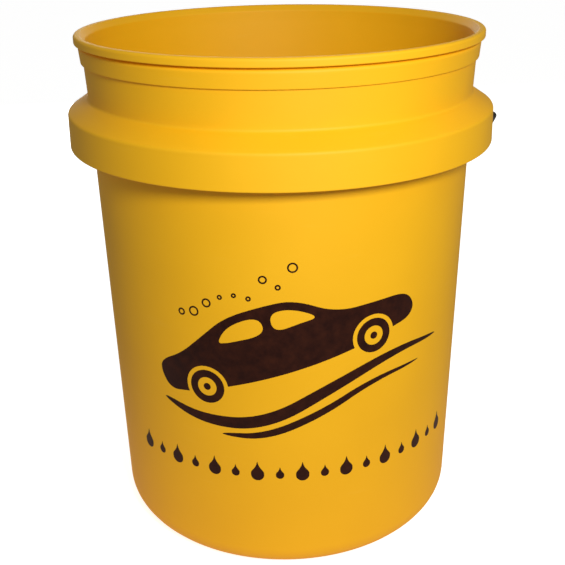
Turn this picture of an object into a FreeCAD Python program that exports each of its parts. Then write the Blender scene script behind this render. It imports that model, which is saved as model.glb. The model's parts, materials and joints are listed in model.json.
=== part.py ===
import FreeCAD, Part
import os
import Sketcher
from FreeCAD import Placement, Rotation, Vector

# A five-gallon wash bucket: a moulded body, a wire bail that swings in the body's two ears, and
# a roller grip on the bail. Origin at the middle of the foot, on the floor; +Z up; the ears lie
# on the X axis and the bail hangs at the back, on the +Y side. Millimetres and degrees.

DIMENSIONS = (
    # Body: heights above the floor and radii from the bucket's axis.
    ("bucket_height", 367.7),
    ("foot_radius", 129.95),       # where the outer wall's line meets the floor
    ("neck_root_radius", 136.3),
    ("neck_top_radius", 138),
    ("mouth_radius", 135),
    ("mouth_land", 12),            # lead-in and straight part inside the lip
    ("lead_in_radius", 138.4),     # inner edge of the rim, from which the lip slopes in
    ("lead_in_depth", 4.4),
    ("wall", 2.3),
    ("lip_radius", 142.7),
    ("lip_height", 5.6),
    ("bead_radius", 140.2),
    ("bead_top", 361.2),
    ("bead_crest", 359.8),
    ("bead_bottom", 349.2),
    # Skirt: the hollow collar that stiffens the neck and carries the bail.
    ("skirt_root", 324.5),
    ("skirt_shoulder", 314.8),
    ("skirt_radius", 151.1),
    ("skirt_bottom_radius", 151.5),
    ("skirt_bottom", 291.5),
    ("skirt_wall", 2.2),
    ("skirt_ribs", 32),
    ("rib_width", 1.8),
    ("rib_bottom", 294.5),
    # Floor: a raised middle, so that the bucket stands on its rim.
    ("floor_wall", 2.7),
    ("floor_rise", 5),
    ("floor_radius", 104),
    ("foot_inner_radius", 108.2),
    ("base_corner", 18),
    ("floor_ribs", 12),
    ("floor_rib_height", 3),
    ("hub_radius", 20),
    # Bail and its ears.
    ("pivot_height", 304),
    ("wire_radius", 2),
    ("ear_hole_radius", 2.4),
    ("ear_boss_radius", 7),
    ("ear_boss_inner", 147.2),
    ("leg_offset", 155),           # from the bucket's axis to the middle of a leg
    ("elbow_radius", 4.5),
    ("hook_radius", 4),
    ("hook_offset", 142),
    ("hook_length", 7),
    ("bail_drop", 176),            # from the pivot down to the middle of the grip
    ("bail_corner", 40),
    ("bail_middle", 51),           # half of the straight that the grip turns on
    ("bail_angle", 55.4),          # from straight down, at rest against the back wall
    # Grip.
    ("grip_half_length", 48),
    ("grip_bore_radius", 2.6),
    ("grip_radius", 10.6),
    ("grip_waist", 0.8),
    ("grip_flange_radius", 12.5),
    ("grip_flange", 4),
    ("grip_flutes", 12),
    ("grip_flute_radius", 2),
)


def make_sheet(doc):
    """Spreadsheet of the driving dimensions, one named cell for each."""
    sheet = doc.addObject("Spreadsheet::Sheet", "Dim")
    for row, (alias, value) in enumerate(DIMENSIONS, start=1):
        sheet.set("A%d" % row, alias)
        sheet.set("B%d" % row, str(value))
        sheet.setAlias("B%d" % row, alias)
    doc.recompute()
    return sheet


def make_body(doc, label):
    body = doc.addObject("PartDesign::Body", label)
    body.Label = label
    return body


def origin_item(body, role):
    """One of the planes or axes of the body's own origin."""
    return [item for item in body.Origin.OriginFeatures if item.Role == role][0]


def make_sketch(body, name, plane):
    """Empty sketch on one of the body's own origin planes."""
    sketch = body.newObject("Sketcher::SketchObject", name)
    sketch.AttachmentSupport = (origin_item(body, plane), [""])
    sketch.MapMode = "FlatFace"
    body.Document.recompute()
    return sketch


def drive(sketch, kind, expression, *geometry):
    """Dimension of a sketch, bound to an expression on the sheet."""
    value = float(sketch.evalExpression(expression))
    index = sketch.addConstraint(Sketcher.Constraint(kind, *geometry, value))
    sketch.setExpression("Constraints[%d]" % index, expression)


def add_outline(sketch, corners):
    """Closed run of straight lines through corners, each given as two expressions."""
    places = [Vector(*(float(sketch.evalExpression(text)) for text in corner)) for corner in corners]
    count = len(places)
    for index, place in enumerate(places):
        sketch.addGeometry(Part.LineSegment(place, places[(index + 1) % count]), False)
    for index, (across, up) in enumerate(corners):
        following = (index + 1) % count
        sketch.addConstraint(Sketcher.Constraint("Coincident", index, 2, following, 1))
        drive(sketch, "DistanceX", across, -1, 1, index, 1)
        drive(sketch, "DistanceY", up, -1, 1, index, 1)


def add_circle(sketch, across, up, radius):
    """Circle at a point given by two expressions."""
    centre = Vector(float(sketch.evalExpression(across)), float(sketch.evalExpression(up)), 0)
    size = float(sketch.evalExpression(radius))
    circle = sketch.addGeometry(Part.Circle(centre, Vector(0, 0, 1), size), False)
    drive(sketch, "Radius", radius, circle)
    drive(sketch, "DistanceX", across, -1, 1, circle, 3)
    drive(sketch, "DistanceY", up, -1, 1, circle, 3)


def turn(body, name, sketch, axis):
    """Revolve a sketch all the way round one of its own axes."""
    solid = body.newObject("PartDesign::Revolution", name)
    solid.Profile = sketch
    solid.ReferenceAxis = (sketch, [axis])
    solid.Angle = 360
    body.Document.recompute()
    return solid


def pad(body, name, sketch, length, midplane=False):
    solid = body.newObject("PartDesign::Pad", name)
    solid.Profile = sketch
    solid.Midplane = midplane
    solid.setExpression("Length", length)
    body.Document.recompute()
    return solid


def pocket(body, name, sketch, length, reverse):
    """Blind cut, which must take something away."""
    before = body.Shape.Volume
    cut = body.newObject("PartDesign::Pocket", name)
    cut.Profile = sketch
    cut.Reversed = reverse
    cut.setExpression("Length", length)
    body.Document.recompute()
    if body.Shape.Volume >= before:
        raise RuntimeError(name + " cuts nothing")
    return cut


def repeat(body, name, feature, axis, count):
    """Polar pattern of one feature round an axis of the body's origin."""
    pattern = body.newObject("PartDesign::PolarPattern", name)
    pattern.Originals = [feature]
    pattern.Axis = (origin_item(body, axis), [""])
    pattern.Angle = 360
    pattern.setExpression("Occurrences", count)
    body.Tip = pattern
    body.Document.recompute()
    return pattern


def ring_edges(solid, rings):
    """Names of the full circular edges of a turned solid at (radius, height) pairs."""
    names = []
    for radius, height in rings:
        for number, edge in enumerate(solid.Shape.Edges, start=1):
            if not isinstance(edge.Curve, Part.Circle):
                continue
            near = abs(edge.Curve.Radius - radius) < 0.01
            if near and abs(edge.Curve.Center.z - height) < 0.01:
                names.append("Edge%d" % number)
    if len(names) != len(rings):
        raise RuntimeError("found %d of %d edges to round" % (len(names), len(rings)))
    return names


def round_rings(body, name, radius, rings):
    """Fillet the circular edges at (radius, height) pairs of expressions."""
    base = body.Tip
    places = [[float(base.evalExpression(text)) for text in ring] for ring in rings]
    fillet = body.newObject("PartDesign::Fillet", name)
    fillet.Base = (base, ring_edges(base, places))
    fillet.setExpression("Radius", radius)
    body.Document.recompute()
    return fillet


def bucket_shell(doc):
    """Injection-moulded body: wall, floor, lip, bead, hollow ribbed skirt and the bail's ears."""
    body = make_body(doc, "bucket_shell")
    # Slope of the wall in radius for each millimetre of height.
    draft = "(Dim.neck_root_radius - Dim.foot_radius) / Dim.skirt_root"
    wall_line = "Dim.foot_radius + " + draft + " * "
    skirt_inside = "Dim.skirt_root - Dim.skirt_wall * 1.2"
    step_up = "Dim.floor_rise + Dim.floor_wall"
    land_bottom = "Dim.bucket_height - Dim.mouth_land"
    lip_bottom = "Dim.bucket_height - Dim.lip_height"
    hub_out = "Dim.hub_radius + Dim.wall"
    hub_low = "Dim.floor_rise - Dim.floor_rib_height"

    profile = make_sketch(body, "wall_profile", "XZ_Plane")
    add_outline(profile, (
        # Underside, from the gate mark over the hub ring to the foot.
        ("0", "Dim.floor_rise - Dim.wall"),
        ("Dim.hub_radius / 5", "Dim.floor_rise - Dim.wall"),
        ("Dim.hub_radius / 4", "Dim.floor_rise"),
        ("Dim.hub_radius", "Dim.floor_rise"),
        ("Dim.hub_radius", hub_low),
        (hub_out, hub_low),
        (hub_out, "Dim.floor_rise"),
        ("Dim.floor_radius", "Dim.floor_rise"),
        ("Dim.foot_inner_radius", "0"),
        # Outer wall up to the skirt, then the skirt's inside, edge, face and shoulder.
        ("Dim.foot_radius", "0"),
        (wall_line + "(" + skirt_inside + ")", skirt_inside),
        ("Dim.skirt_radius - Dim.skirt_wall", "Dim.skirt_shoulder - Dim.skirt_wall * 0.6"),
        ("Dim.skirt_bottom_radius - Dim.skirt_wall", "Dim.skirt_bottom"),
        ("Dim.skirt_bottom_radius", "Dim.skirt_bottom"),
        ("Dim.skirt_radius", "Dim.skirt_shoulder"),
        ("Dim.neck_root_radius", "Dim.skirt_root"),
        # Neck, bead and lip.
        ("Dim.neck_root_radius + Dim.wall * 0.5", "Dim.bead_bottom"),
        ("Dim.bead_radius - Dim.wall * 0.4", "Dim.bead_bottom"),
        ("Dim.bead_radius", "Dim.bead_crest"),
        ("Dim.neck_top_radius", "Dim.bead_top"),
        ("Dim.neck_top_radius", lip_bottom),
        ("Dim.lip_radius", lip_bottom),
        ("Dim.lip_radius", "Dim.bucket_height"),
        # Inside: sloping lead-in, straight land, tapered wall, channel round the raised floor.
        ("Dim.lead_in_radius", "Dim.bucket_height"),
        ("Dim.mouth_radius", "Dim.bucket_height - Dim.lead_in_depth"),
        ("Dim.mouth_radius", land_bottom),
        ("Dim.neck_root_radius - Dim.wall", "Dim.skirt_root"),
        (wall_line + "Dim.floor_wall - Dim.wall", "Dim.floor_wall"),
        ("Dim.foot_inner_radius + Dim.wall * 0.5", "Dim.floor_wall"),
        ("Dim.floor_radius + Dim.wall * 0.6", step_up),
        ("0", step_up),
    ))
    turn(body, "wall", profile, "V_Axis")

    round_rings(body, "base_round", "Dim.base_corner", [("Dim.foot_radius", "0")])
    floor_edge = (wall_line + "Dim.floor_wall - Dim.wall", "Dim.floor_wall")
    round_rings(body, "floor_round", "Dim.base_corner - Dim.floor_wall", [floor_edge])
    rim = "Dim.bucket_height"
    round_rings(body, "lip_outer_round", "Dim.lip_height * 0.36", [("Dim.lip_radius", rim)])
    round_rings(body, "lip_inner_round", "Dim.lip_height * 0.3", [("Dim.lead_in_radius", rim)])
    round_rings(body, "shoulder_round", "Dim.wall", [
        ("Dim.skirt_radius", "Dim.skirt_shoulder"),
        ("Dim.neck_root_radius", "Dim.skirt_root"),
    ])
    round_rings(body, "bead_round", "Dim.wall", [("Dim.bead_radius", "Dim.bead_crest")])
    round_rings(body, "edge_round", "Dim.wall * 0.25", [
        ("Dim.skirt_bottom_radius", "Dim.skirt_bottom"),
        ("Dim.lip_radius", lip_bottom),
        ("Dim.foot_inner_radius", "0"),
    ])

    # Gusset ribs inside the skirt. The first stands half a step from the ear on the X axis.
    rib = make_sketch(body, "skirt_rib_profile", "XZ_Plane")
    rib.AttachmentOffset = Placement(Vector(), Rotation(Vector(0, 1, 0), 1))
    rib.setExpression("AttachmentOffset.Rotation.Angle", "180 deg / Dim.skirt_ribs")
    inner = "Dim.neck_root_radius - Dim.wall * 0.6"
    outer = "Dim.skirt_radius - Dim.skirt_wall * 0.4"
    add_outline(rib, (
        (inner, "Dim.rib_bottom"),
        (outer, "Dim.rib_bottom"),
        (outer, "Dim.skirt_shoulder - Dim.skirt_wall * 0.4"),
        (inner, "Dim.skirt_root - Dim.skirt_wall * 0.4"),
    ))
    ribs = pad(body, "skirt_rib", rib, "Dim.rib_width", midplane=True)
    repeat(body, "skirt_ribs", ribs, "Z_Axis", "Dim.skirt_ribs")

    # Ribs under the floor, from the hub ring to the foot.
    spoke = make_sketch(body, "floor_rib_profile", "XZ_Plane")
    add_outline(spoke, (
        ("Dim.hub_radius + Dim.wall * 0.5", hub_low),
        ("Dim.foot_inner_radius + Dim.wall * 0.4", hub_low),
        ("Dim.floor_radius", "Dim.floor_rise + Dim.floor_wall * 0.5"),
        ("Dim.hub_radius + Dim.wall * 0.5", "Dim.floor_rise + Dim.floor_wall * 0.5"),
    ))
    spokes = pad(body, "floor_rib", spoke, "Dim.rib_width", midplane=True)
    repeat(body, "floor_ribs", spokes, "Z_Axis", "Dim.floor_ribs")

    # Ears: a boss inside the skirt at each end of the X axis, with a hole for the wire.
    boss = make_sketch(body, "ear_boss_profile", "YZ_Plane")
    boss.setExpression("AttachmentOffset.Base.z", "Dim.ear_boss_inner")
    add_circle(boss, "0", "Dim.pivot_height", "Dim.ear_boss_radius")
    bosses = pad(body, "ear_boss", boss, "Dim.skirt_radius - Dim.skirt_wall * 0.4 - Dim.ear_boss_inner")
    repeat(body, "ear_bosses", bosses, "Z_Axis", "2")
    hole = make_sketch(body, "ear_hole_profile", "YZ_Plane")
    hole.setExpression("AttachmentOffset.Base.z", "Dim.leg_offset")
    add_circle(hole, "0", "Dim.pivot_height", "Dim.ear_hole_radius")
    holes = pocket(body, "ear_hole", hole, "Dim.leg_offset - Dim.hook_offset - Dim.hook_radius", False)
    repeat(body, "ear_holes", holes, "Z_Axis", "2")
    return body


def bail_half(sketch):
    """Pieces of the right half of the bail's centre line, from the hook to the corner arc."""
    def size(name):
        return float(sketch.evalExpression("Dim." + name))

    def arc(centre, radius, start, end):
        """Arc between two directions, each given as the cosine and sine of its angle."""
        middle = (start + end).normalize()
        return Part.Arc(*(centre + Vector(way).multiply(radius) for way in (start, middle, end)))

    hook, leg, middle, drop = (
        size(name) for name in ("hook_offset", "leg_offset", "bail_middle", "bail_drop")
    )
    bend, elbow, corner = size("hook_radius"), size("elbow_radius"), size("bail_corner")
    right, up, left, down = Vector(1, 0, 0), Vector(0, 1, 0), Vector(-1, 0, 0), Vector(0, -1, 0)
    # The long side arc starts straight down from the elbow. Its radius is the one that meets the
    # corner arc smoothly: their centres are then as far apart as their radii differ.
    across, fall = leg - middle, drop - elbow - corner
    side = (across ** 2 + fall ** 2 - corner ** 2) / (2 * (across - corner))
    meeting = Vector(side - across, -fall, 0).normalize()
    return [
        Part.LineSegment(Vector(hook, size("hook_length"), 0), Vector(hook, bend, 0)),
        arc(Vector(hook + bend, bend, 0), bend, left, down),
        Part.LineSegment(Vector(hook + bend, 0, 0), Vector(leg - elbow, 0, 0)),
        arc(Vector(leg - elbow, -elbow, 0), elbow, up, right),
        arc(Vector(leg - side, -elbow, 0), side, right, meeting),
        arc(Vector(middle, corner - drop, 0), corner, meeting, down),
    ]


def mirrored(piece):
    """The same line or arc on the other side of the Y axis, run backwards."""
    ends = [piece.EndPoint, piece.StartPoint]
    ends = [Vector(-end.x, end.y, 0) for end in ends]
    if isinstance(piece, Part.LineSegment):
        return Part.LineSegment(*ends)
    halfway = piece.value((piece.FirstParameter + piece.LastParameter) / 2)
    return Part.Arc(ends[0], Vector(-halfway.x, halfway.y, 0), ends[1])


def bail_path(sketch):
    """Centre line of the bail with its pivot line on the sketch's X axis: on each side a hook, the
    stretch in the ear, elbow, long side arc and corner arc, and the grip's straight between."""
    half = bail_half(sketch)
    reach = half[-1].EndPoint if half[-1].EndPoint.y < half[-1].StartPoint.y else half[-1].StartPoint
    straight = Part.LineSegment(reach, Vector(-reach.x, reach.y, 0))
    pieces = half + [straight] + [mirrored(piece) for piece in reversed(half)]
    for piece in pieces:
        sketch.addGeometry(piece, False)
    for index in range(len(pieces) - 1):
        join_tangent(sketch, index, index + 1)
    last = len(pieces) - 1
    for sign, first, step in (("", 0, 1), ("-", last, -1)):
        hook, bend, pin, elbow, side, corner = (first + step * place for place in range(6))
        sketch.addConstraint(Sketcher.Constraint("Vertical", hook))
        sketch.addConstraint(Sketcher.Constraint("Horizontal", pin))
        sketch.addConstraint(Sketcher.Constraint("PointOnObject", pin, 1, -1))
        tip = 1 if step == 1 else 2
        drive(sketch, "DistanceX", sign + "Dim.hook_offset", -1, 1, hook, tip)
        drive(sketch, "DistanceY", "Dim.hook_length", -1, 1, hook, tip)
        drive(sketch, "Radius", "Dim.hook_radius", bend)
        drive(sketch, "Radius", "Dim.elbow_radius", elbow)
        drive(sketch, "DistanceX", sign + "(Dim.leg_offset - Dim.elbow_radius)", -1, 1, elbow, 3)
        drive(sketch, "DistanceY", "-Dim.elbow_radius", -1, 1, side, 3)
        drive(sketch, "Radius", "Dim.bail_corner", corner)
    middle = len(half)
    sketch.addConstraint(Sketcher.Constraint("Horizontal", middle))
    drive(sketch, "DistanceX", "Dim.bail_middle", -1, 1, middle, 1)
    drive(sketch, "DistanceX", "-Dim.bail_middle", -1, 1, middle, 2)
    drive(sketch, "DistanceY", "-Dim.bail_drop", -1, 1, middle, 1)
    return len(pieces)


def join_tangent(sketch, first, second):
    """Smooth joint where two neighbouring pieces of a path touch."""
    for end in (1, 2):
        for start in (1, 2):
            if sketch.getPoint(first, end).isEqual(sketch.getPoint(second, start), 0.01):
                sketch.addConstraint(Sketcher.Constraint("Tangent", first, end, second, start))
                return
    raise RuntimeError("pieces %d and %d of the bail don't meet" % (first, second))


def hang(body, behind, height):
    """Place a body at a distance behind the ears and a height, tilted as the bail is at rest."""
    body.Placement = Placement(Vector(), Rotation(Vector(1, 0, 0), 1))
    body.setExpression("Placement.Base.y", behind)
    body.setExpression("Placement.Base.z", height)
    body.setExpression("Placement.Rotation.Angle", "Dim.bail_angle * 1 deg")


def bail_wire(doc):
    """Bent steel wire with a hook at each end."""
    body = make_body(doc, "bail_wire")
    path = make_sketch(body, "bail_path", "XZ_Plane")
    count = bail_path(path)
    doc.recompute()
    section = make_sketch(body, "wire_section", "XY_Plane")
    section.setExpression("AttachmentOffset.Base.z", "Dim.hook_length")
    add_circle(section, "Dim.hook_offset", "0", "Dim.wire_radius")
    doc.recompute()
    wire = body.newObject("PartDesign::AdditivePipe", "wire")
    wire.Profile = section
    wire.Spine = (path, ["Edge%d" % number for number in range(1, count + 1)])
    doc.recompute()
    hang(body, "0", "Dim.pivot_height")
    return body


def grip_roller(doc):
    """Moulded roller: a waisted barrel between two flanges, fluted lengthways, bored for the wire."""
    body = make_body(doc, "grip_roller")
    profile = make_sketch(body, "grip_profile", "XZ_Plane")
    flange_start = "Dim.grip_half_length - Dim.grip_flange"
    add_outline(profile, (
        ("-Dim.grip_half_length", "Dim.grip_bore_radius"),
        ("Dim.grip_half_length", "Dim.grip_bore_radius"),
        ("Dim.grip_half_length", "Dim.grip_flange_radius - 1"),
        ("Dim.grip_half_length - 1", "Dim.grip_flange_radius"),
        (flange_start, "Dim.grip_flange_radius"),
        (flange_start, "Dim.grip_radius - Dim.grip_waist"),
        ("Dim.grip_half_length / 2", "Dim.grip_radius"),
        ("-Dim.grip_half_length / 2", "Dim.grip_radius"),
        ("-(" + flange_start + ")", "Dim.grip_radius - Dim.grip_waist"),
        ("-(" + flange_start + ")", "Dim.grip_flange_radius"),
        ("1 - Dim.grip_half_length", "Dim.grip_flange_radius"),
        ("-Dim.grip_half_length", "Dim.grip_flange_radius - 1"),
    ))
    turn(body, "barrel", profile, "H_Axis")
    flute = make_sketch(body, "flute_profile", "YZ_Plane")
    flute.setExpression("AttachmentOffset.Base.z", "-(" + flange_start + ")")
    add_circle(flute, "0", "Dim.grip_radius + Dim.grip_flute_radius * 0.6", "Dim.grip_flute_radius")
    flutes = pocket(body, "flute", flute, "2 * (" + flange_start + ")", True)
    repeat(body, "flutes", flutes, "X_Axis", "Dim.grip_flutes")
    behind = "Dim.bail_drop * sin(Dim.bail_angle * 1 deg)"
    lowered = "Dim.pivot_height - Dim.bail_drop * cos(Dim.bail_angle * 1 deg)"
    hang(body, behind, lowered)
    return body


def check(doc, parts):
    """Stop if any object failed or any sub-part has no sound solid."""
    for item in doc.Objects:
        if "Invalid" in item.State or "Error" in item.State:
            raise RuntimeError(item.Name + " failed: " + ", ".join(item.State))
    for part in parts:
        if part.Shape.isNull() or not part.Shape.isValid() or len(part.Shape.Solids) != 1:
            raise RuntimeError(part.Label + " is not one sound solid")


def build():
    doc = FreeCAD.newDocument("wash_bucket")
    make_sheet(doc)
    parts = [bucket_shell(doc), bail_wire(doc), grip_roller(doc)]
    doc.recompute()
    check(doc, parts)
    os.makedirs("parts", exist_ok=True)
    for part in parts:
        part.Shape.exportStep("parts/%s.step" % part.Label)
        print("%s %.1f cm3" % (part.Label, part.Shape.Volume / 1000))


build()
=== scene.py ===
import json
import math
import random

import bmesh
import bpy
from mathutils import Matrix, Vector
from mathutils.geometry import tessellate_polygon


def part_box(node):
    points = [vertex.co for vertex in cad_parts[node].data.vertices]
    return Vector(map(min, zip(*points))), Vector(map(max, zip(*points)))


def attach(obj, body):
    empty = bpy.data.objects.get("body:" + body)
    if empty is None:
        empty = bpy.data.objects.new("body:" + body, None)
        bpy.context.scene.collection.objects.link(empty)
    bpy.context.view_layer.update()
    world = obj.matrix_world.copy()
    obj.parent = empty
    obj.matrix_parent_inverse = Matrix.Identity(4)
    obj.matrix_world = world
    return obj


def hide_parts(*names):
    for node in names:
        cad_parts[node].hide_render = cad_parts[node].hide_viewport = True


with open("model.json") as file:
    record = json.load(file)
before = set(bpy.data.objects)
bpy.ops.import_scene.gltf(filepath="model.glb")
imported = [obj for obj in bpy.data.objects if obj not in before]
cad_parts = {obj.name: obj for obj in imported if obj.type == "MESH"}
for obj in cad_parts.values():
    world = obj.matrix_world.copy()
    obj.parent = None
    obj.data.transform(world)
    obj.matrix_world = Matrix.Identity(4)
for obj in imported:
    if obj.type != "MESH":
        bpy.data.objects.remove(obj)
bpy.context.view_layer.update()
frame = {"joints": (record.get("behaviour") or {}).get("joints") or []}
MM = 0.001

# ---------------------------------------------------------------------------------------------
# The view: a hand-held camera a little above the mouth, close enough for strong perspective,
# held with a slight tilt. It stands just to the right of the printed front.
# ---------------------------------------------------------------------------------------------
view_turn = math.radians(2.7)
view_distance = 653.5 * MM
view_height = 448.6 * MM
view_pitch = math.radians(22.08)
view_roll = math.radians(1.0)

camera_data = bpy.data.cameras.new("view")
camera_data.lens = 57.52
camera_data.sensor_width = 36
camera_data.shift_x = -0.0017
camera_data.shift_y = -0.0262
camera_data.clip_end = 100
camera = bpy.data.objects.new("view", camera_data)
camera.matrix_world = (
    Matrix.Rotation(view_turn, 4, "Z")
    @ Matrix.Translation((0, -view_distance, view_height))
    @ Matrix.Rotation(math.pi / 2 - view_pitch, 4, "X")
    @ Matrix.Rotation(-view_roll, 4, "Z")
)
bpy.context.scene.collection.objects.link(camera)
bpy.context.scene.camera = camera
bpy.context.scene.view_settings.view_transform = "Standard"

# ---------------------------------------------------------------------------------------------
# Bucket body: one injection moulding in yellow high-density polyethylene, about 2.3 mm thick.
# It is turned from one outline: raised floor, foot, tapered wall, hollow skirt, bead and lip.
# ---------------------------------------------------------------------------------------------
# Sizes are in millimetres. The two roof values say how far below its outside the skirt is hollow,
# at its root and at its shoulder. The draft and the widening are measured on the radius.
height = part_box("bucket_shell")[1][2] / MM
foot_radius = 129.95
neck_root_radius = 136.3
neck_top_radius = 138.0
mouth_radius = 135.0
lead_in_radius = 138.4
lead_in_depth = 4.4
mouth_land = 12.0
wall = 2.3
skirt_root = 324.5
skirt_shoulder = 314.8
skirt_radius = 151.1
skirt_bottom_radius = 151.5
skirt_bottom = 291.5
skirt_wall = 2.2
skirt_roof_inner = 2.64
skirt_roof_outer = 1.32
neck_widening = 1.15
lip_radius = 142.7
lip_bottom = height - 5.6
bead_radius = 140.2
bead_crest = 359.8
bead_top = 361.2
bead_bottom = 349.2
bead_draft = 0.9
floor_rise = 5.0
floor_wall = 2.7
floor_radius = 104.0
foot_inner_radius = 108.2
foot_rounding = 18.0
foot_inner_rounding = 15.3
hub_radius = 20.0
hub_low = 2.0
wall_slope = (neck_root_radius - foot_radius) / skirt_root


def wall_radius(z):
    """Outside radius of the tapered wall at a height, in millimetres."""
    return foot_radius + wall_slope * z


def rounded_outline(corners, arc_step=9.0, support=0.7, longest=14.0):
    """Closed outline through (radius, height, rounding) corners, as points in millimetres. Long
    straight runs get a point close to each end, so that smooth shading stays in the roundings."""
    count = len(corners)
    runs = []
    for index, (x, y, rounding) in enumerate(corners):
        here = Vector((x, y))
        before = (Vector(corners[index - 1][:2]) - here).normalized()
        after = (Vector(corners[(index + 1) % count][:2]) - here).normalized()
        if rounding == 0:
            runs.append([here])
            continue
        half = before.angle(after) / 2
        centre = here + (before + after).normalized() * rounding / math.sin(half)
        start = here + before * rounding / math.tan(half) - centre
        end = here + after * rounding / math.tan(half) - centre
        turn = start.angle_signed(end)
        steps = max(2, math.ceil(abs(math.degrees(turn)) / arc_step))
        arc = []
        for step in range(steps + 1):
            angle = -turn * step / steps
            spin = Matrix.Rotation(angle, 2)
            arc.append(centre + spin @ start)
        runs.append(arc)
    points = []
    for index, run in enumerate(runs):
        points.extend(run)
        start, end = run[-1], runs[(index + 1) % count][0]
        length = (end - start).length
        if length > 3 * support:
            inner = length - 2 * support
            pieces = max(1, math.ceil(inner / longest))
            places = [support + inner * step / pieces for step in range(pieces + 1)]
            points.extend(start + (end - start) * place / length for place in places)
    return points


body_outline = rounded_outline([
    (0, floor_rise - wall, 0),
    (hub_radius / 5, floor_rise - wall, 0.4),
    (hub_radius / 4, floor_rise, 0.4),
    (hub_radius, floor_rise, 0.4),
    (hub_radius, hub_low, 0.4),
    (hub_radius + wall, hub_low, 0.4),
    (hub_radius + wall, floor_rise, 0.4),
    (floor_radius, floor_rise, 1.2),
    (foot_inner_radius, 0, 0.8),
    (foot_radius, 0, foot_rounding),
    (wall_radius(skirt_root - skirt_roof_inner), skirt_root - skirt_roof_inner, 1.2),
    (skirt_radius - skirt_wall, skirt_shoulder - skirt_roof_outer, 1.4),
    (skirt_bottom_radius - skirt_wall, skirt_bottom, 0.5),
    (skirt_bottom_radius, skirt_bottom, 0.7),
    (skirt_radius, skirt_shoulder, 2.6),
    (neck_root_radius, skirt_root, 2.4),
    (neck_root_radius + neck_widening, bead_bottom, 0.3),
    (bead_radius - bead_draft, bead_bottom, 0.35),
    (bead_radius, bead_crest, 2.3),
    (neck_top_radius, bead_top, 0.4),
    (neck_top_radius, lip_bottom, 0.4),
    (lip_radius, lip_bottom, 0.6),
    (lip_radius, height, 2.0),
    (lead_in_radius, height, 1.68),
    (mouth_radius, height - lead_in_depth, 2.0),
    (mouth_radius, height - mouth_land, 3),
    (neck_root_radius - wall, skirt_root, 8),
    (wall_radius(floor_wall) - wall, floor_wall, foot_inner_rounding),
    (foot_inner_radius + 1.2, floor_wall, 2.2),
    (floor_radius + 1.4, floor_rise + floor_wall, 1.6),
    (0, floor_rise + floor_wall, 0),
])


def wire_mesh(name, points):
    """Mesh of bare edges through (radius, height) points in the XZ plane, in metres."""
    mesh = bpy.data.meshes.new(name)
    edges = [(index, index + 1) for index in range(len(points) - 1)]
    mesh.from_pydata([(x * MM, 0, y * MM) for x, y in points], edges, [])
    return mesh


def add(tree, kind, sockets=None, **settings):
    """Node of a kind. Each of sockets names an input and gives its value or the output to link."""
    item = tree.nodes.new(kind)
    for name, value in settings.items():
        setattr(item, name, value)
    for name, value in (sockets or {}).items():
        if isinstance(value, bpy.types.NodeSocket):
            tree.links.new(value, item.inputs[name])
        else:
            item.inputs[name].default_value = value
    return item


def node_group(name, inputs):
    """Geometry Nodes tree with a geometry in and out and named inputs, each (name, type)."""
    tree = bpy.data.node_groups.new(name, "GeometryNodeTree")
    tree.interface.new_socket("Geometry", in_out="INPUT", socket_type="NodeSocketGeometry")
    for label, kind in inputs:
        tree.interface.new_socket(label, in_out="INPUT", socket_type="NodeSocket" + kind)
    tree.interface.new_socket("Geometry", in_out="OUTPUT", socket_type="NodeSocketGeometry")
    return tree, add(tree, "NodeGroupInput").outputs


def finish_tree(tree, geometry, material):
    """Close a tree: real geometry, one material."""
    real = add(tree, "GeometryNodeRealizeInstances", {"Geometry": geometry})
    done = add(tree, "GeometryNodeSetMaterial", {"Geometry": real.outputs[0], "Material": material})
    add(tree, "NodeGroupOutput", {"Geometry": done.outputs[0]})


def grow(name, mesh, tree, values):
    """Object whose plain mesh is what the tree makes of a starting mesh with these values."""
    piece = bpy.data.objects.new(name, mesh)
    bpy.context.scene.collection.objects.link(piece)
    modifier = piece.modifiers.new(name, "NODES")
    modifier.node_group = tree
    for item in tree.interface.items_tree:
        if item.in_out == "INPUT" and item.name in values:
            modifier[item.identifier] = values[item.name]
    evaluated = piece.evaluated_get(bpy.context.evaluated_depsgraph_get())
    made = bpy.data.meshes.new_from_object(evaluated)
    piece.modifiers.clear()
    piece.data = made
    made.name = name
    return piece


def smooth(piece, degrees=35):
    """Smooth shading, kept crisp where faces meet at more than an angle."""
    piece.data.shade_smooth()
    piece.data.set_sharp_from_angle(angle=math.radians(degrees))


# Turns an outline in the XZ plane round the Z axis: a grid whose rows take the outline's points
# and whose columns are turned evenly round. The last column lies on the first and is merged.
merge_distance = 0.001 * MM
turning, given = node_group("turned_moulding", [("Sides", "Int"), ("Material", "Material")])
points_in = add(turning, "GeometryNodeAttributeDomainSize", {"Geometry": given["Geometry"]})
columns = add(turning, "ShaderNodeMath", {0: given["Sides"], 1: 1.0}, operation="ADD")
sheet = add(turning, "GeometryNodeMeshGrid", {
    "Size X": 1.0, "Size Y": 1.0,
    "Vertices X": columns.outputs[0], "Vertices Y": points_in.outputs["Point Count"],
})
index = add(turning, "GeometryNodeInputIndex")
row = add(turning, "ShaderNodeMath", {0: index.outputs[0], 1: points_in.outputs["Point Count"]},
          operation="MODULO")
column = add(turning, "ShaderNodeMath", {0: index.outputs[0], 1: points_in.outputs["Point Count"]},
             operation="DIVIDE")
whole = add(turning, "ShaderNodeMath", {0: column.outputs[0]}, operation="FLOOR")
part_turn = add(turning, "ShaderNodeMath", {0: whole.outputs[0], 1: given["Sides"]},
                operation="DIVIDE")
angle = add(turning, "ShaderNodeMath", {0: part_turn.outputs[0], 1: math.tau},
            operation="MULTIPLY")
place = add(turning, "GeometryNodeInputPosition")
sample = add(turning, "GeometryNodeSampleIndex", {
    "Geometry": given["Geometry"], "Value": place.outputs[0], "Index": row.outputs[0],
}, data_type="FLOAT_VECTOR")
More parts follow.
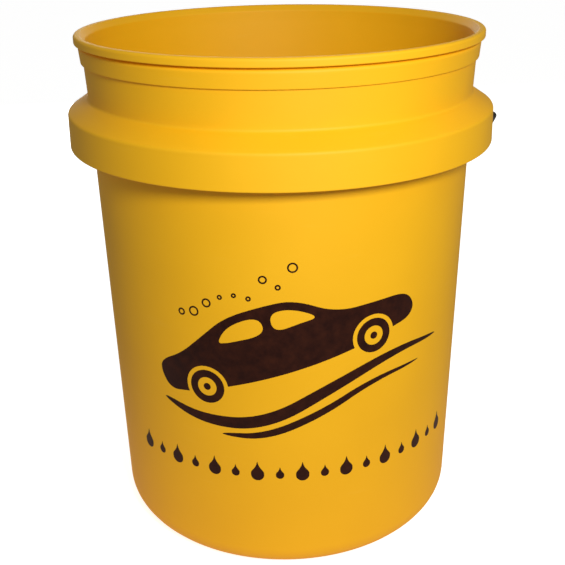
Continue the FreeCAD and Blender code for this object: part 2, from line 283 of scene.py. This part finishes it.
turned = add(turning, "ShaderNodeVectorRotate", {
    "Vector": sample.outputs[0], "Angle": angle.outputs[0],
}, rotation_type="Z_AXIS")
placed = add(turning, "GeometryNodeSetPosition", {
    "Geometry": sheet.outputs["Mesh"], "Position": turned.outputs[0],
})
closed = add(turning, "GeometryNodeMergeByDistance", {
    "Geometry": placed.outputs[0], "Distance": merge_distance,
})
finish_tree(turning, closed.outputs[0], given["Material"])


def linear(code):
    """Linear colour with full alpha from an sRGB hex code."""
    parts = [int(code[place:place + 2], 16) / 255 for place in (1, 3, 5)]
    return [part / 12.92 if part <= 0.04045 else ((part + 0.055) / 1.055) ** 2.4
            for part in parts] + [1]


def new_material(name):
    """Material with its node tree and its Principled shader."""
    material = bpy.data.materials.new(name)
    material.use_nodes = True
    return material, material.node_tree, material.node_tree.nodes["Principled BSDF"]


# High-density polyethylene, moulded in a lightly textured tool: satin, with soft flow mottling,
# a faint waviness where the wall shrank, and pale rub marks. Its refractive index is 1.54.
polyethylene, tree, surface = new_material("moulded_polyethylene_yellow")
coords = add(tree, "ShaderNodeTexCoord").outputs["Object"]
flow_size = 1 / (70 * MM)
grain_size = 1 / (0.9 * MM)
ripple_size = 1 / (45 * MM)
scuff_size = 1 / (16 * MM)
flow = add(tree, "ShaderNodeTexNoise", {"Vector": coords, "Scale": flow_size, "Detail": 3.0})
tone = add(tree, "ShaderNodeValToRGB", {"Fac": flow.outputs["Fac"]})
tone.color_ramp.elements[0].position = 0.3
tone.color_ramp.elements[0].color = linear("#F8B900")
tone.color_ramp.elements[1].position = 0.7
tone.color_ramp.elements[1].color = linear("#FCBD04")
stretched = add(tree, "ShaderNodeMapping", {"Vector": coords, "Scale": (0.35, 0.35, 3.0)})
scuff = add(tree, "ShaderNodeTexNoise", {"Vector": stretched.outputs[0], "Scale": scuff_size,
                                         "Detail": 6.0, "Roughness": 0.7})
scuff_mask = add(tree, "ShaderNodeMapRange", {"Value": scuff.outputs["Fac"], "From Min": 0.6,
                                              "From Max": 0.82, "To Min": 0.0, "To Max": 0.16})
rubbed = add(tree, "ShaderNodeMix", {0: scuff_mask.outputs[0], 6: tone.outputs[0],
                                     7: linear("#FFCB4A")}, data_type="RGBA")
gloss = add(tree, "ShaderNodeMapRange", {"Value": flow.outputs["Fac"], "To Min": 0.58,
                                         "To Max": 0.68})
grain = add(tree, "ShaderNodeTexNoise", {"Vector": coords, "Scale": grain_size, "Detail": 2.0})
ripple = add(tree, "ShaderNodeTexNoise", {"Vector": coords, "Scale": ripple_size, "Detail": 1.0})
rippled = add(tree, "ShaderNodeBump", {"Height": ripple.outputs["Fac"], "Distance": 0.25 * MM,
                                       "Strength": 0.5})
grained = add(tree, "ShaderNodeBump", {"Height": grain.outputs["Fac"], "Distance": 0.02 * MM,
                                       "Strength": 0.6, "Normal": rippled.outputs[0]})
tree.links.new(rubbed.outputs[2], surface.inputs["Base Color"])
tree.links.new(gloss.outputs[0], surface.inputs["Roughness"])
tree.links.new(grained.outputs[0], surface.inputs["Normal"])
surface.inputs["IOR"].default_value = 1.54
surface.inputs["Specular IOR Level"].default_value = 0.38

body_sides = 240
bucket_body = grow("bucket_body", wire_mesh("bucket_outline", body_outline), turning,
                   {"Sides": body_sides, "Material": polyethylene})

# The ears are two plain holes through the skirt, each with a round boss inside. The wire's end
# goes through them.
pivot = Vector(next(joint["pos_m"] for joint in frame["joints"] if joint["name"] == "bail_pivot"))
ear_hole_radius = 2.4
ear_boss_radius = 7.0
ear_boss_inner = 147.2
ear_boss_outer = skirt_radius - 0.9
ear_hole_inner = 145.5
ear_hole_outer = 156.0


def rod(name, radius, start, end, sides=48):
    """Closed cylinder along X between two places, in millimetres, at the height of the ears."""
    shape = bmesh.new()
    bmesh.ops.create_cone(shape, cap_ends=True, segments=sides, radius1=radius * MM,
                          radius2=radius * MM, depth=(end - start) * MM)
    bmesh.ops.rotate(shape, verts=shape.verts, matrix=Matrix.Rotation(math.pi / 2, 3, "Y"))
    bmesh.ops.translate(shape, verts=shape.verts, vec=((start + end) / 2 * MM, 0, pivot.z))
    mesh = bpy.data.meshes.new(name)
    shape.to_mesh(mesh)
    shape.free()
    return bpy.data.objects.new(name, mesh)


def carve(piece, tool, operation):
    """Cut a tool's shape out of a piece, or join it on, and remove the tool."""
    bpy.context.scene.collection.objects.link(tool)
    modifier = piece.modifiers.new(tool.name, "BOOLEAN")
    modifier.operation = operation
    modifier.solver = "EXACT"
    modifier.object = tool
    evaluated = piece.evaluated_get(bpy.context.evaluated_depsgraph_get())
    made = bpy.data.meshes.new_from_object(evaluated)
    piece.modifiers.clear()
    piece.data = made
    bpy.data.objects.remove(tool)


for side in (1, -1):
    boss_ends = sorted((side * ear_boss_inner, side * ear_boss_outer))
    carve(bucket_body, rod("ear_boss", ear_boss_radius, *boss_ends), "UNION")
    hole_ends = sorted((side * ear_hole_inner, side * ear_hole_outer))
    carve(bucket_body, rod("ear_hole", ear_hole_radius, *hole_ends), "DIFFERENCE")
smooth(bucket_body)
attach(bucket_body, "bucket")
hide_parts("bucket_shell")

# ---------------------------------------------------------------------------------------------
# Ribs of the body: thin gussets that stiffen the hollow skirt, and spokes under the floor. They
# are moulded with the body, and each rib's edges run a little way into the walls it joins.
# ---------------------------------------------------------------------------------------------
skirt_rib_count = 32
floor_rib_count = 12
rib_width = 1.8
rib_bottom = 294.5
rib_overlap = 0.9
rib_inner = neck_root_radius - 1.4
rib_outer = skirt_radius - rib_overlap
spoke_inner = hub_radius + 1.1
spoke_outer = foot_inner_radius + rib_overlap
spoke_top = floor_rise + 1.3

ring, given = node_group("ring_of_ribs", [("Count", "Int"), ("First angle", "Float"),
                                          ("Material", "Material")])
spots = add(ring, "GeometryNodePoints", {"Count": given["Count"]})
spot = add(ring, "GeometryNodeInputIndex")
share = add(ring, "ShaderNodeMath", {0: spot.outputs[0], 1: given["Count"]}, operation="DIVIDE")
step_angle = add(ring, "ShaderNodeMath", {
    0: share.outputs[0], 1: math.tau, 2: given["First angle"],
}, operation="MULTIPLY_ADD")
heading = add(ring, "ShaderNodeCombineXYZ", {"Z": step_angle.outputs[0]})
copies = add(ring, "GeometryNodeInstanceOnPoints", {
    "Points": spots.outputs[0], "Instance": given["Geometry"], "Rotation": heading.outputs[0],
})
finish_tree(ring, copies.outputs[0], given["Material"])


def plate(name, corners, thickness, bevel=0.35):
    """Flat plate through (radius, height) corners in millimetres, centred on the XZ plane."""
    shape = bmesh.new()
    front = [shape.verts.new((x * MM, -thickness / 2 * MM, y * MM)) for x, y in corners]
    face = shape.faces.new(front)
    pushed = bmesh.ops.extrude_face_region(shape, geom=[face])
    moved = [item for item in pushed["geom"] if isinstance(item, bmesh.types.BMVert)]
    bmesh.ops.translate(shape, verts=moved, vec=(0, thickness * MM, 0))
    bmesh.ops.bevel(shape, geom=shape.edges[:], offset=bevel * MM, segments=2, affect="EDGES")
    bmesh.ops.recalc_face_normals(shape, faces=shape.faces)
    mesh = bpy.data.meshes.new(name)
    shape.to_mesh(mesh)
    shape.free()
    return mesh


skirt_rib = plate("skirt_rib", [
    (rib_inner, rib_bottom), (rib_outer, rib_bottom),
    (rib_outer, skirt_shoulder - rib_overlap), (rib_inner, skirt_root - rib_overlap),
], rib_width)
skirt_ribs = grow("skirt_ribs", skirt_rib, ring, {
    "Count": skirt_rib_count, "First angle": math.pi / skirt_rib_count,
    "Material": polyethylene,
})
floor_rib = plate("floor_rib", [
    (spoke_inner, hub_low), (spoke_outer, hub_low),
    (floor_radius, spoke_top), (spoke_inner, spoke_top),
], rib_width)
floor_ribs = grow("floor_ribs", floor_rib, ring, {
    "Count": floor_rib_count, "First angle": 0.0, "Material": polyethylene,
})
for piece in (skirt_ribs, floor_ribs):
    smooth(piece)
    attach(piece, "bucket")

# ---------------------------------------------------------------------------------------------
# Bail: one length of 4 mm steel wire, bent cold, with a black coating. Each end passes through
# an ear and is hooked over inside the skirt. It hangs at the back, on the wall.
# ---------------------------------------------------------------------------------------------
wire_radius = 2.0
wire_sides = 24
hook_offset, hook_radius, hook_length = 142.0, 4.0, 7.0
leg_offset, elbow_radius = 155.0, 4.5
bail_middle, corner_arc = 51.0, 40.0
grip_centre = Vector(next(joint["pos_m"] for joint in frame["joints"]
                          if joint["name"] == "grip_spin"))
bail_drop = (grip_centre - pivot).length / MM
hang = (grip_centre - pivot).normalized()


def arc_points(centre, radius, start, end, step=4.0):
    """Points along an arc between two angles in degrees."""
    steps = max(2, math.ceil(abs(end - start) / step))
    angles = [math.radians(start + (end - start) * place / steps) for place in range(steps + 1)]
    return [Vector((centre[0] + radius * math.cos(angle), centre[1] + radius * math.sin(angle)))
            for angle in angles]


def bail_line():
    """Centre line as (across, along) pairs: across the bucket, and away from the pivot line. The
    long side arc has the radius that lets it run smoothly into the corner arc."""
    across, fall = leg_offset - bail_middle, bail_drop - elbow_radius - corner_arc
    side_arc = (across ** 2 + fall ** 2 - corner_arc ** 2) / (2 * (across - corner_arc))
    meeting = math.degrees(math.atan2(fall, side_arc - across))
    half = [Vector((hook_offset, -hook_length))]
    half += arc_points((hook_offset + hook_radius, -hook_radius), hook_radius, 180, 90, 10)
    half += arc_points((leg_offset - elbow_radius, elbow_radius), elbow_radius, -90, 0, 8)
    half += arc_points((leg_offset - side_arc, elbow_radius), side_arc, 0, meeting, 2.5)[1:]
    half += arc_points((bail_middle, bail_drop - corner_arc), corner_arc, meeting, 90)[1:]
    return half + [Vector((-point.x, point.y)) for point in reversed(half)]


bending, given = node_group("bent_wire", [("Wire radius", "Float"), ("Sides", "Int"),
                                          ("Material", "Material")])
route = add(bending, "GeometryNodeMeshToCurve", {"Mesh": given["Geometry"]})
section = add(bending, "GeometryNodeCurvePrimitiveCircle", {"Resolution": given["Sides"],
                                                            "Radius": given["Wire radius"]})
swept = add(bending, "GeometryNodeCurveToMesh", {
    "Curve": route.outputs[0], "Profile Curve": section.outputs["Curve"], "Fill Caps": True,
})
finish_tree(bending, swept.outputs[0], given["Material"])

# Black epoxy-coated steel: smooth and half glossy, with the bare metal showing in small rubbed
# spots. The coating's refractive index is about 1.5.
coated_steel, tree, surface = new_material("black_coated_steel")
coords = add(tree, "ShaderNodeTexCoord").outputs["Object"]
rub = add(tree, "ShaderNodeTexNoise", {"Vector": coords, "Scale": 1 / (5 * MM), "Detail": 5.0,
                                       "Roughness": 0.65})
bare = add(tree, "ShaderNodeMapRange", {"Value": rub.outputs["Fac"], "From Min": 0.66,
                                        "From Max": 0.74})
coat_tone = add(tree, "ShaderNodeMix", {0: bare.outputs[0], 6: linear("#211D1A"),
                                        7: linear("#8C8780")}, data_type="RGBA")
dull = add(tree, "ShaderNodeMapRange", {"Value": rub.outputs["Fac"], "To Min": 0.25,
                                        "To Max": 0.5})
peel = add(tree, "ShaderNodeTexNoise", {"Vector": coords, "Scale": 1 / (1.2 * MM), "Detail": 1.0})
peeled = add(tree, "ShaderNodeBump", {"Height": peel.outputs["Fac"], "Distance": 0.03 * MM,
                                      "Strength": 0.6})
tree.links.new(coat_tone.outputs[2], surface.inputs["Base Color"])
tree.links.new(bare.outputs[0], surface.inputs["Metallic"])
tree.links.new(dull.outputs[0], surface.inputs["Roughness"])
tree.links.new(peeled.outputs[0], surface.inputs["Normal"])

bail_points = bail_line()
bail_mesh = bpy.data.meshes.new("bail_centre_line")
bail_mesh.from_pydata(
    [(point.x * MM, *(pivot + hang * point.y * MM)[1:]) for point in bail_points],
    [(index, index + 1) for index in range(len(bail_points) - 1)], [],
)
bail = grow("bail", bail_mesh, bending, {
    "Wire radius": wire_radius * MM, "Sides": wire_sides, "Material": coated_steel,
})
smooth(bail, degrees=50)
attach(bail, "bail")
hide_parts("bail_wire")

# ---------------------------------------------------------------------------------------------
# Grip: a black polyethylene roller moulded round the wire's path, with a flange at each end, a
# shallow waist and lengthways flutes. It turns freely on the wire.
# ---------------------------------------------------------------------------------------------
grip_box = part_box("grip_roller")
grip_half = (grip_box[1][0] - grip_box[0][0]) / 2 / MM
grip_flange_radius = 12.5
grip_flange = 4.0
grip_radius = 10.6
grip_waist = 0.8
grip_bore = 2.6
grip_edge = 1.0
recess_depth = 1.6
recess_width = 2.0
recess_draft = 0.4
flange_bevel = 0.6
barrel_steps = 32
flute_count = 12
flute_depth = 0.8
flute_run_out = 3.0
flute_sharpness = 1.5
grip_sides = flute_count * 12


def grip_stations():
    """(place along the grip, radius, how far the flutes are cut) from bore to bore."""
    start = grip_flange - grip_half
    recess_edge = grip_bore + recess_width
    face = [
        (-grip_half + recess_depth, grip_bore, 0),
        (-grip_half + recess_depth, recess_edge, 0),
        (-grip_half, recess_edge + recess_draft, 0),
        (-grip_half, grip_flange_radius - grip_edge, 0),
    ]
    face += [(-grip_half + grip_edge + point.x, grip_flange_radius - grip_edge + point.y, 0)
             for point in arc_points((0, 0), grip_edge, 180, 90, 15)][1:]
    face += [
        (start - flange_bevel, grip_flange_radius, 0),
        (start - flange_bevel / 4, grip_flange_radius - flange_bevel / 4, 0),
        (start, grip_flange_radius - flange_bevel, 0),
    ]
    barrel = []
    for step in range(barrel_steps // 2 + 1):
        along = start * (1 - 2 * step / barrel_steps)
        waist = grip_waist * max(0.0, abs(along) / -start * 2 - 1)
        cut = min(1.0, (along - start) / flute_run_out)
        barrel.append((along, grip_radius - waist, cut))
    half = face + barrel
    return half + [(-along, radius, cut) for along, radius, cut in reversed(half[:-1])]


def grip_mesh():
    """Mesh of the turned shape with its flutes, closed through its bore."""
    shape = bmesh.new()
    rings = []
    for along, radius, cut in grip_stations():
        ring_verts = []
        for side in range(grip_sides):
            turn = math.tau * side / grip_sides
            groove = max(0.0, math.cos(turn * flute_count)) ** flute_sharpness
            reach = (radius - flute_depth * cut * groove) * MM
            offset = Vector((along * MM, reach * math.cos(turn), reach * math.sin(turn)))
            ring_verts.append(shape.verts.new(grip_centre + offset))
        rings.append(ring_verts)
    for index, here in enumerate(rings):
        beyond = rings[(index + 1) % len(rings)]
        for side in range(grip_sides):
            following = (side + 1) % grip_sides
            shape.faces.new((here[side], beyond[side], beyond[following], here[following]))
    bmesh.ops.recalc_face_normals(shape, faces=shape.faces)
    mesh = bpy.data.meshes.new("grip")
    shape.to_mesh(mesh)
    shape.free()
    return mesh


# Black polyethylene from a spark-eroded tool: fine even grain and low gloss, polished in patches
# by palms. Its refractive index is 1.51.
black_plastic, tree, surface = new_material("moulded_polyethylene_black")
coords = add(tree, "ShaderNodeTexCoord").outputs["Object"]
patch = add(tree, "ShaderNodeTexNoise", {"Vector": coords, "Scale": 1 / (14 * MM), "Detail": 3.0})
black = add(tree, "ShaderNodeMix", {0: patch.outputs["Fac"], 6: linear("#1B1A19"),
                                    7: linear("#262422")}, data_type="RGBA")
worn = add(tree, "ShaderNodeMapRange", {"Value": patch.outputs["Fac"], "To Min": 0.38,
                                        "To Max": 0.6})
spark = add(tree, "ShaderNodeTexNoise", {"Vector": coords, "Scale": 1 / (0.6 * MM), "Detail": 2.0})
sparked = add(tree, "ShaderNodeBump", {"Height": spark.outputs["Fac"], "Distance": 0.05 * MM,
                                       "Strength": 0.7})
tree.links.new(black.outputs[2], surface.inputs["Base Color"])
tree.links.new(worn.outputs[0], surface.inputs["Roughness"])
tree.links.new(sparked.outputs[0], surface.inputs["Normal"])
surface.inputs["IOR"].default_value = 1.51

grip = bpy.data.objects.new("grip", grip_mesh())
bpy.context.scene.collection.objects.link(grip)
grip.data.materials.append(black_plastic)
smooth(grip)
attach(grip, "grip")
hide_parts("grip_roller")

# ---------------------------------------------------------------------------------------------
# Print: black ink, screen-printed on the front in one pass, 0.1 mm thick. A plain motor car
# climbs over a sweep of water and bubbles, and a row of drops runs round the wall below them.
# ---------------------------------------------------------------------------------------------
ink_lift = 0.03
ink_thickness = 0.07
slice_width = 3.0

# Wraps flat artwork onto the wall. In the artwork X is the distance round the wall from the
# middle of the front, and Y the height above the ground.
wrapping, given = node_group("artwork_on_wall", [
    ("Foot radius", "Float"), ("Slope", "Float"), ("Lift", "Float"), ("Material", "Material"),
])
drawn = add(wrapping, "GeometryNodeInputPosition").outputs[0]
flat = add(wrapping, "ShaderNodeSeparateXYZ", {0: drawn})
distance, level = flat.outputs["X"], flat.outputs["Y"]
on_wall = add(wrapping, "ShaderNodeMath", {0: level, 1: given["Slope"], 2: given["Foot radius"]},
              operation="MULTIPLY_ADD")
lifted = add(wrapping, "ShaderNodeMath", {0: on_wall.outputs[0], 1: given["Lift"]},
             operation="ADD")
inwards = add(wrapping, "ShaderNodeMath", {0: lifted.outputs[0], 1: -1.0}, operation="MULTIPLY")
angle = add(wrapping, "ShaderNodeMath", {0: distance, 1: on_wall.outputs[0]}, operation="DIVIDE")
ahead = add(wrapping, "ShaderNodeCombineXYZ", {"Y": inwards.outputs[0], "Z": level})
bent = add(wrapping, "ShaderNodeVectorRotate", {
    "Vector": ahead.outputs[0], "Angle": angle.outputs[0],
}, rotation_type="Z_AXIS")
laid = add(wrapping, "GeometryNodeSetPosition", {"Geometry": given["Geometry"],
                                                 "Position": bent.outputs[0]})
finish_tree(wrapping, laid.outputs[0], given["Material"])

# Lays copies of one flat shape in a row, evenly spaced, every second one smaller.
drop_row, given = node_group("row_of_drops", [
    ("Count", "Int"), ("Pitch", "Float"), ("Middle", "Vector"), ("Small", "Float"),
    ("Material", "Material"),
])
spots = add(drop_row, "GeometryNodePoints", {"Count": given["Count"]})
spot = add(drop_row, "GeometryNodeInputIndex").outputs[0]
last = add(drop_row, "ShaderNodeMath", {0: given["Count"], 1: 1.0}, operation="SUBTRACT")
half = add(drop_row, "ShaderNodeMath", {0: last.outputs[0], 1: 2.0}, operation="DIVIDE")
from_middle = add(drop_row, "ShaderNodeMath", {0: spot, 1: half.outputs[0]}, operation="SUBTRACT")
along = add(drop_row, "ShaderNodeMath", {0: from_middle.outputs[0], 1: given["Pitch"]},
            operation="MULTIPLY")
beside = add(drop_row, "ShaderNodeCombineXYZ", {"X": along.outputs[0]})
where = add(drop_row, "ShaderNodeVectorMath", {0: beside.outputs[0], 1: given["Middle"]},
            operation="ADD")
spread = add(drop_row, "GeometryNodeSetPosition", {"Geometry": spots.outputs[0],
                                                   "Position": where.outputs[0]})
second = add(drop_row, "ShaderNodeMath", {0: spot, 1: 2.0}, operation="MODULO")
size = add(drop_row, "ShaderNodeMapRange", {"Value": second.outputs[0], "To Min": 1.0,
                                            "To Max": given["Small"]})
drops = add(drop_row, "GeometryNodeInstanceOnPoints", {
    "Points": spread.outputs[0], "Instance": given["Geometry"], "Scale": size.outputs[0],
})
finish_tree(drop_row, drops.outputs[0], given["Material"])


def softened(points, rounds=3):
    """Open line with its corners cut round, its ends kept."""
    line = [Vector(point) for point in points]
    for _ in range(rounds):
        cut = [line[0]]
        for here, there in zip(line, line[1:]):
            cut += [here.lerp(there, 0.25), here.lerp(there, 0.75)]
        line = cut + [line[-1]]
    return line


def disc(centre, radius, step=10):
    """Points round a circle."""
    return arc_points(centre, radius, 0, 360, step)[:-1]


def artwork(name, shapes, shift=(0, 0), turn=0.0):
    """Flat mesh of filled shapes, each an outline and its holes, shifted and turned, and cut into
    upright slices so that it can bend. Sizes are in millimetres."""
    shape = bmesh.new()
    for loops in shapes:
        corners = [shape.verts.new((point.x, point.y, 0)) for loop in loops for point in loop]
        for triangle in tessellate_polygon([[point.to_3d() for point in loop] for loop in loops]):
            shape.faces.new([corners[index] for index in triangle])
    place = Matrix.Translation((*shift, 0)) @ Matrix.Rotation(turn, 4, "Z")
    bmesh.ops.transform(shape, matrix=place, verts=shape.verts)
    left = min(vert.co.x for vert in shape.verts)
    right = max(vert.co.x for vert in shape.verts)
    for index in range(1, math.ceil((right - left) / slice_width)):
        everything = shape.verts[:] + shape.edges[:] + shape.faces[:]
        bmesh.ops.bisect_plane(shape, geom=everything, dist=1e-5,
                               plane_co=(left + index * slice_width, 0, 0), plane_no=(1, 0, 0))
    for face in shape.faces:
        if face.normal.z < 0:
            face.normal_flip()
    bmesh.ops.scale(shape, vec=(MM, MM, MM), verts=shape.verts)
    mesh = bpy.data.meshes.new(name)
    shape.to_mesh(mesh)
    shape.free()
    return mesh


# The car, on a level baseline: body with its wheel arches and two windows, and two wheels.
axle_place, axle_height = 60, 8
arch_radius, wheel_radius, rim_radius, hub_cap_radius = 15.5, 12.5, 7.0, 2.6
car_top = softened([
    (-76, 6), (-92, 8), (-96, 22), (-92, 30), (-72, 34), (-52, 44), (-30, 55), (-2, 57),
    (18, 55), (40, 37), (70, 31), (92, 25), (97, 12), (90, 5), (76, 6),
])
arches = arc_points((axle_place, axle_height), arch_radius, -8, 188, 12)
arches += arc_points((-axle_place, axle_height), arch_radius, -8, 188, 12)
rear_window = softened([(-34, 37), (-42, 38), (-30, 49), (-8, 51), (-7, 37), (-34, 37)])[:-1]
front_window = softened([(16, 38), (-2, 37), (-1, 51), (14, 50), (30, 38), (16, 38)])[:-1]
wheels = []
for middle in (-axle_place, axle_place):
    axle = (middle, axle_height)
    wheels.append([disc(axle, wheel_radius), disc(axle, rim_radius)])
    wheels.append([disc(axle, hub_cap_radius)])
car = [[car_top + arches, rear_window, front_window]] + wheels
car_place = (12, 158)
car_rise = math.radians(17)
car_artwork = artwork("car_artwork", car, shift=car_place, turn=car_rise)


def swoosh(points, thickest, peak=0.4):
    """Tapered band along a soft line, thickest part of the way along it."""
    line = softened(points, rounds=4)
    upper, lower = [], []
    for place, here in enumerate(line[1:-1], 1):
        along = (line[place + 1] - line[place - 1]).normalized()
        share = place / (len(line) - 1)
        reach = share / peak if share < peak else (1 - share) / (1 - peak)
        offset = Vector((-along.y, along.x)) * thickest / 2 * math.sin(reach * math.pi / 2)
        upper.append(here + offset)
        lower.append(here - offset)
    return [line[0]] + upper + [line[-1]] + lower[::-1]


# The water: two tapered sweeps under the car, and bubbles of several sizes rising behind it.
water = [
    [swoosh([(-84, 131), (-52, 122), (-8, 124), (40, 152), (84, 168), (128, 166)], 9.0)],
    [swoosh([(-38, 113), (-8, 114), (30, 131), (66, 150), (108, 153)], 5.5)],
]
bubble_count = 9
bubble_smallest, bubble_largest = 1.6, 4.6
bubble_wall = 1.1
bubble_start = (-64, 206)
bubble_pitch = (9.5, 3.2)
bubble_scatter = 7.0
random.seed(7)
bubbles = []
for place in range(bubble_count):
    radius = random.uniform(bubble_smallest, bubble_largest)
    across = bubble_start[0] + place * bubble_pitch[0]
    level = bubble_start[1] + place * bubble_pitch[1]
    middle = Vector((across, level + random.uniform(-bubble_scatter, bubble_scatter)))
    bubbles.append([disc(middle, radius), disc(middle, radius - bubble_wall)])
water_artwork = artwork("water_artwork", water + bubbles)

# One drop, falling: a round foot that runs up to a point.
drop_radius, drop_height, drop_centre = 4.6, 15.0, -0.5
drop_side = softened([(0, drop_height - drop_radius), (1.2, 6.0), (drop_radius, 2.0),
                      (drop_radius, drop_centre)])
drop = drop_side + arc_points((0, drop_centre), drop_radius, 0, -180, 15)[1:]
drop += [Vector((-point.x, point.y)) for point in reversed(drop_side[1:-1])]
drop_count = 17
drop_pitch = 15.6
drop_middle = (17 * MM, 83 * MM, 0)
small_drop = 0.62
drop_artwork = grow("drops", artwork("drop", [[drop]]), drop_row, {
    "Count": drop_count, "Pitch": drop_pitch * MM, "Middle": drop_middle, "Small": small_drop,
})

# Screen-printing ink cured on polyethylene: an almost black warm brown, half matt, with thin
# places where the mesh of the screen laid down less of it. Mesh drawn at 0.5 mm so that it shows.
print_ink, tree, surface = new_material("screen_printed_ink")
coords = add(tree, "ShaderNodeTexCoord").outputs["Object"]
thin = add(tree, "ShaderNodeTexNoise", {"Vector": coords, "Scale": 1 / (7 * MM), "Detail": 5.0,
                                        "Roughness": 0.6})
ink_tone = add(tree, "ShaderNodeMapRange", {"Value": thin.outputs["Fac"], "From Min": 0.35,
                                            "From Max": 0.75})
ink = add(tree, "ShaderNodeMix", {0: ink_tone.outputs[0], 6: linear("#240600"),
                                  7: linear("#3A1504")}, data_type="RGBA")
matt = add(tree, "ShaderNodeMapRange", {"Value": thin.outputs["Fac"], "To Min": 0.42,
                                        "To Max": 0.6})
screen = add(tree, "ShaderNodeTexVoronoi", {"Vector": coords, "Scale": 1 / (0.5 * MM)})
meshed = add(tree, "ShaderNodeBump", {"Height": screen.outputs["Distance"], "Distance": 0.01 * MM,
                                      "Strength": 0.5})
tree.links.new(ink.outputs[2], surface.inputs["Base Color"])
tree.links.new(matt.outputs[0], surface.inputs["Roughness"])
tree.links.new(meshed.outputs[0], surface.inputs["Normal"])
surface.inputs["IOR"].default_value = 1.5
surface.inputs["Specular IOR Level"].default_value = 0.2

for name, flat_mesh in (("print_car", car_artwork), ("print_water", water_artwork),
                        ("print_drops", drop_artwork.data)):
    printed = grow(name, flat_mesh, wrapping, {
        "Foot radius": foot_radius * MM, "Slope": wall_slope, "Lift": ink_lift * MM,
        "Material": print_ink,
    })
    thickness = printed.modifiers.new("ink", "SOLIDIFY")
    thickness.thickness = ink_thickness * MM
    thickness.offset = 1
    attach(printed, "bucket")
bpy.data.objects.remove(drop_artwork)

# ---------------------------------------------------------------------------------------------
# The setting: a plain white floor under an even white sky. The main lamp is close, just above and
# to the right of the camera, so the light falls off towards the foot and inside the mouth.
# ---------------------------------------------------------------------------------------------
floor_reach = 12
floor_mesh = bpy.data.meshes.new("floor")
floor_shape = bmesh.new()
bmesh.ops.create_circle(floor_shape, cap_ends=True, segments=64, radius=floor_reach)
floor_shape.to_mesh(floor_mesh)
floor_shape.free()
floor = bpy.data.objects.new("floor", floor_mesh)
bpy.context.scene.collection.objects.link(floor)
# The floor glows a little, so that it stays white away from the lamp, and sheds no light itself.
floor.visible_diffuse = False
floor.visible_glossy = False
white, tree, surface = new_material("white_floor")
coords = add(tree, "ShaderNodeTexCoord").outputs["Object"]
paper = add(tree, "ShaderNodeTexNoise", {"Vector": coords, "Scale": 40.0})
paper_tone = add(tree, "ShaderNodeMix", {0: paper.outputs["Fac"], 6: linear("#DCDCDB"),
                                         7: linear("#DFDFDE")}, data_type="RGBA")
tree.links.new(paper_tone.outputs[2], surface.inputs["Base Color"])
surface.inputs["Roughness"].default_value = 1.0
surface.inputs["Specular IOR Level"].default_value = 0.0
surface.inputs["Emission Color"].default_value = linear("#FFFFFF")
surface.inputs["Emission Strength"].default_value = 0.8
floor_mesh.materials.append(white)


def lamp(name, heading, lamp_height, distance, size, power):
    """Square soft lamp aimed at the middle of the bucket, from a heading in degrees round from
    the front, positive to the right. Distance is from the bucket's axis, in metres."""
    light = bpy.data.lights.new(name, "AREA")
    light.size = size
    light.energy = power
    turn = math.radians(heading)
    place = Vector((math.sin(turn) * distance, -math.cos(turn) * distance, lamp_height))
    aim = Vector((0, 0, height / 2 * MM)) - place
    item = bpy.data.objects.new(name, light)
    item.matrix_world = (Matrix.Translation(place)
                         @ aim.to_track_quat("-Z", "Y").to_matrix().to_4x4())
    bpy.context.scene.collection.objects.link(item)


# The lamp at the back is large and weak, and only lights what the first view doesn't show.
lamp("key", heading=18, lamp_height=0.60, distance=0.72, size=0.16, power=4.3)
lamp("back", heading=190, lamp_height=0.5, distance=1.5, size=1.0, power=9)

# A warm glow from the ground round the foot, as from a wooden floor just outside the white.
glow_lift = 0.5
glow = bpy.data.lights.new("ground_glow", "AREA")
glow.shape = "DISK"
glow.size = 0.6
glow.energy = 0.47
glow.color = linear("#FFC6AA")[:3]
ground_glow = bpy.data.objects.new("ground_glow", glow)
ground_glow.matrix_world = (Matrix.Translation((0, 0, glow_lift * MM))
                            @ Matrix.Rotation(math.pi, 4, "X"))
ground_glow.visible_camera = False
bpy.context.scene.collection.objects.link(ground_glow)

world = bpy.data.worlds.new("studio")
world.use_nodes = True
sky = world.node_tree.nodes["Background"]
sky.inputs["Color"].default_value = linear("#FFFFFF")
# The sky is seen as white, and sheds about a quarter of that light.
sky_shed, sky_seen = 0.26, 1.08
seen = add(world.node_tree, "ShaderNodeLightPath").outputs["Is Camera Ray"]
brightness = add(world.node_tree, "ShaderNodeMapRange", {"Value": seen, "To Min": sky_shed,
                                                         "To Max": sky_seen})
world.node_tree.links.new(brightness.outputs[0], sky.inputs["Strength"])
bpy.context.scene.world = world
